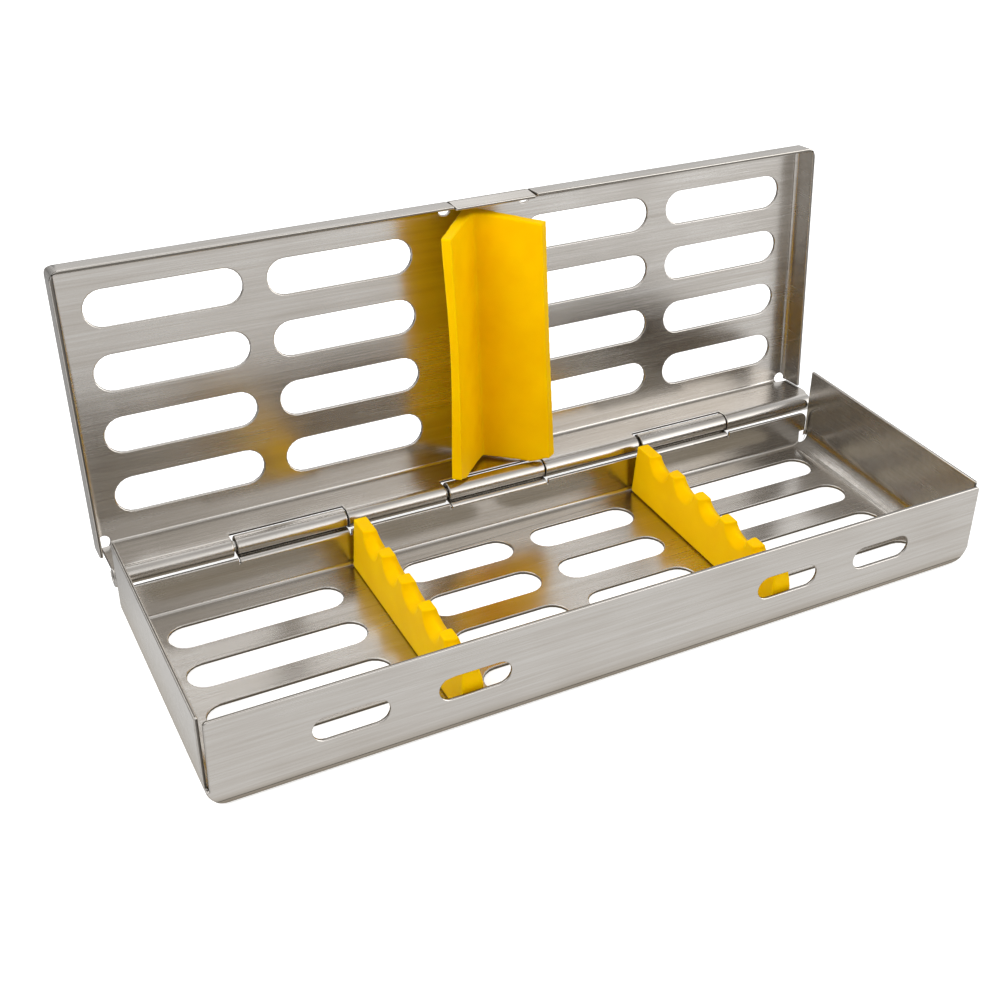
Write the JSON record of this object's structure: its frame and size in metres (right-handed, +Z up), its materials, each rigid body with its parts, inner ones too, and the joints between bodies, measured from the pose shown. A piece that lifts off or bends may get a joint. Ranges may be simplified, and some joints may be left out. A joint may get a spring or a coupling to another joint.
{
  "type": "sterilization box",
  "caption": "Perforated steel instrument cassette with a hinged lid, scalloped silicone rails in the tray and a V-shaped hold-down bar in the lid, standing open.",
  "frame": {"origin": "middle of the tray's underside, on the face it rests on", "axes": "+X along the hinge to the right, +Y from the front wall to the hinge, +Z up from the table"},
  "size_m": [0.183, 0.0807, 0.0768],
  "materials": {
    "steel": "satin brushed stainless sheet",
    "silicone": "smooth yellow silicone"
  },
  "bodies": {
    "tray": {"tray": "steel", "rail_left": "silicone", "rail_right": "silicone", "hinge_pin": "steel"},
    "lid": {"lid": "steel", "hold_down_bar": "silicone"}
  },
  "joints": [
    {"name": "lid_hinge", "type": "hinge", "parent": "tray", "child": "lid", "pos_m": [0, 0.03358, 0.01124], "axis": [1, 0, 0], "range_deg": [-85.4, 94.5]}
  ]
}
